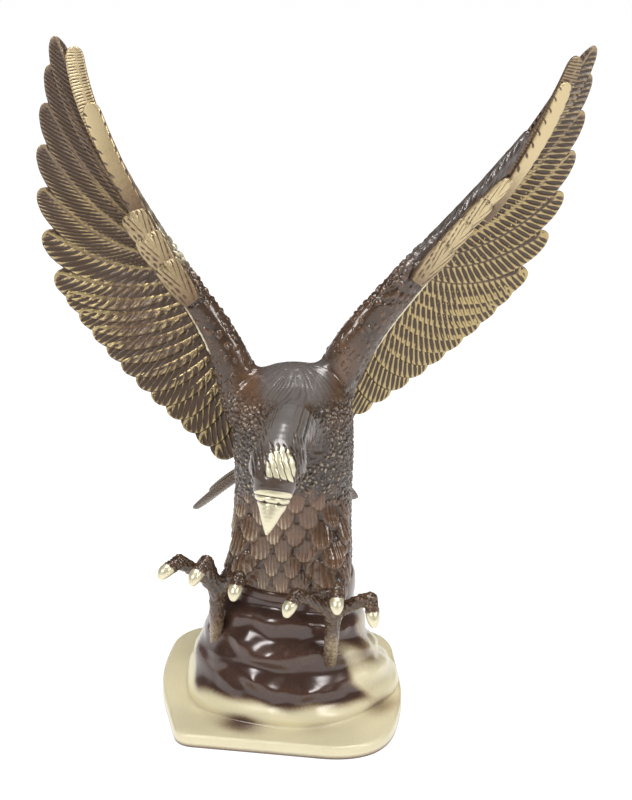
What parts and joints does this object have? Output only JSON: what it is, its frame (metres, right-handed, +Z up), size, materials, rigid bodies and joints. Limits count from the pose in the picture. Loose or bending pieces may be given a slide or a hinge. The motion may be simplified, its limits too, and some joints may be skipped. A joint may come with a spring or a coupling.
{
  "type": "brass eagle figurine",
  "caption": "Cast brass eagle landing with raised wings over a terraced rock plinth, antique brown finish with polished highlights",
  "frame": {"origin": "middle of the plinth's flat underside, on the floor", "axes": "+Z up, the eagle looks along -Y, +X is to the viewer's right"},
  "size_m": [0.2416, 0.1548, 0.3078],
  "materials": {
    "antique_brass": "dark brown antique lacquer rubbed back to brass on the high places",
    "lacquered_brass": "glossy brown lacquer fading to pale polished brass at the plate"
  },
  "bodies": {
    "root": {"eagle": "antique_brass", "rock_plinth": "lacquered_brass"}
  },
  "joints": []
}
